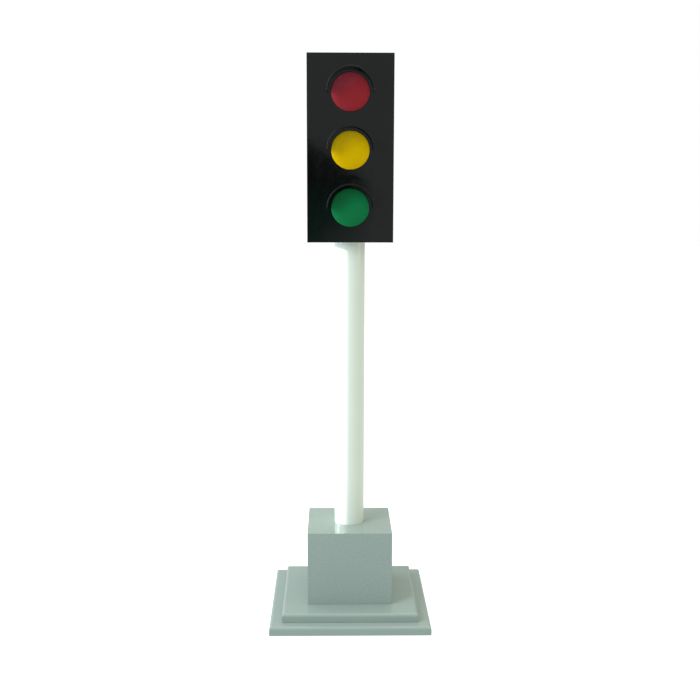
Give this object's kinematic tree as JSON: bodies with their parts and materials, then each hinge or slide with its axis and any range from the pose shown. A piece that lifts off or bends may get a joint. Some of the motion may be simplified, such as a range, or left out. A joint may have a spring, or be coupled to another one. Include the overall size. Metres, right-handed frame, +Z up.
{
  "type": "traffic signal",
  "caption": "Traffic signal head with red, amber and green round lenses under half-round hoods, on a round pole with a stepped square plinth.",
  "frame": {"origin": "centre of the underside of the base plate, on the floor", "axes": "+Z up the pole, -Y the way the lamps face, +X to the right of someone facing the lamps"},
  "size_m": [0.405, 0.405, 1.423],
  "materials": {
    "grey_enamel": "painted timber board, grey-green semi-gloss enamel",
    "panel_enamel": "steel sheet in the same grey-green enamel",
    "white_enamel": "off-white gloss enamel on steel tube",
    "black_gloss": "polished black sheet, mirror-like",
    "red_lens": "moulded translucent red, semi-gloss",
    "amber_lens": "moulded translucent amber, semi-gloss",
    "green_lens": "moulded translucent green, semi-gloss",
    "rubber": "matte black rubber",
    "spun_aluminium": "spun and polished",
    "lamp_glass": "frosted white glass",
    "porcelain": "glazed white",
    "zinc_plate": "bright zinc plate",
    "chrome_plate": "polished chrome",
    "circuit_board": "green solder mask",
    "switch_black": "moulded black, satin",
    "nylon": "natural nylon",
    "grey_sheath": "grey vinyl cable sheath"
  },
  "bodies": {
    "signal": {"base_plate": "grey_enamel", "step_plate": "grey_enamel", "block_front_board": "grey_enamel", "block_right_board": "grey_enamel", "block_left_board": "grey_enamel", "block_back_board": "grey_enamel", "block_top_board": "grey_enamel", "service_panel": "panel_enamel", "mains_inlet": "switch_black", "power_switch_body": "switch_black", "mode_switch_body": "zinc_plate", "power_supply": "zinc_plate", "sequence_controller": "circuit_board", "floor_flange": "zinc_plate", "floor_bolt_1": "zinc_plate", "floor_bolt_2": "zinc_plate", "floor_bolt_3": "zinc_plate", "floor_bolt_4": "zinc_plate", "pole_tube": "white_enamel", "pole_top_flange": "white_enamel", "head_clamp_plate": "zinc_plate", "head_bolt_1": "zinc_plate", "head_bolt_2": "zinc_plate", "head_bolt_3": "zinc_plate", "head_bolt_4": "zinc_plate", "cable_grommet": "rubber", "head_shell": "black_gloss", "front_sheet": "black_gloss", "door_seal": "rubber", "hood_red": "black_gloss", "hood_amber": "black_gloss", "hood_green": "black_gloss", "lens_red": "red_lens", "lens_amber": "amber_lens", "lens_green": "green_lens", "lens_seal_red": "rubber", "lens_seal_amber": "rubber", "lens_seal_green": "rubber", "reflector_red": "spun_aluminium", "reflector_amber": "spun_aluminium", "reflector_green": "spun_aluminium", "lamp_red": "lamp_glass", "lamp_amber": "lamp_glass", "lamp_green": "lamp_glass", "lamp_holder_red": "porcelain", "lamp_holder_amber": "porcelain", "lamp_holder_green": "porcelain", "hinge_frame_leaf": "zinc_plate", "hinge_pin": "zinc_plate", "latch_keeper": "zinc_plate", "terminal_block": "nylon", "lamp_harness": "grey_sheath", "signal_cable": "grey_sheath"},
    "door": {"rear_door": "black_gloss", "hinge_door_leaf": "zinc_plate", "latch_barrel": "chrome_plate"},
    "latch": {"latch_knob": "chrome_plate", "latch_cam": "zinc_plate"},
    "power_rocker": {"power_switch_rocker": "switch_black"},
    "mode_selector": {"mode_knob": "switch_black"}
  },
  "joints": [
    {"name": "door_swing", "type": "hinge", "parent": "signal", "child": "door", "pos_m": [0.1092, 0.0633, 1.1955], "axis": [0, 0, -1], "range_deg": [0, 110]},
    {"name": "latch_turn", "type": "hinge", "parent": "door", "child": "latch", "pos_m": [-0.082, 0.065, 1.1955], "axis": [0, 1, 0], "range_deg": [0, 90]},
    {"name": "power_rock", "type": "hinge", "parent": "signal", "child": "power_rocker", "pos_m": [0, 0.107, 0.134], "axis": [-1, 0, 0], "range_deg": [0, 16]},
    {"name": "mode_turn", "type": "hinge", "parent": "signal", "child": "mode_selector", "pos_m": [0.04, 0.11, 0.134], "axis": [0, 1, 0], "range_deg": [-60, 60]}
  ]
}
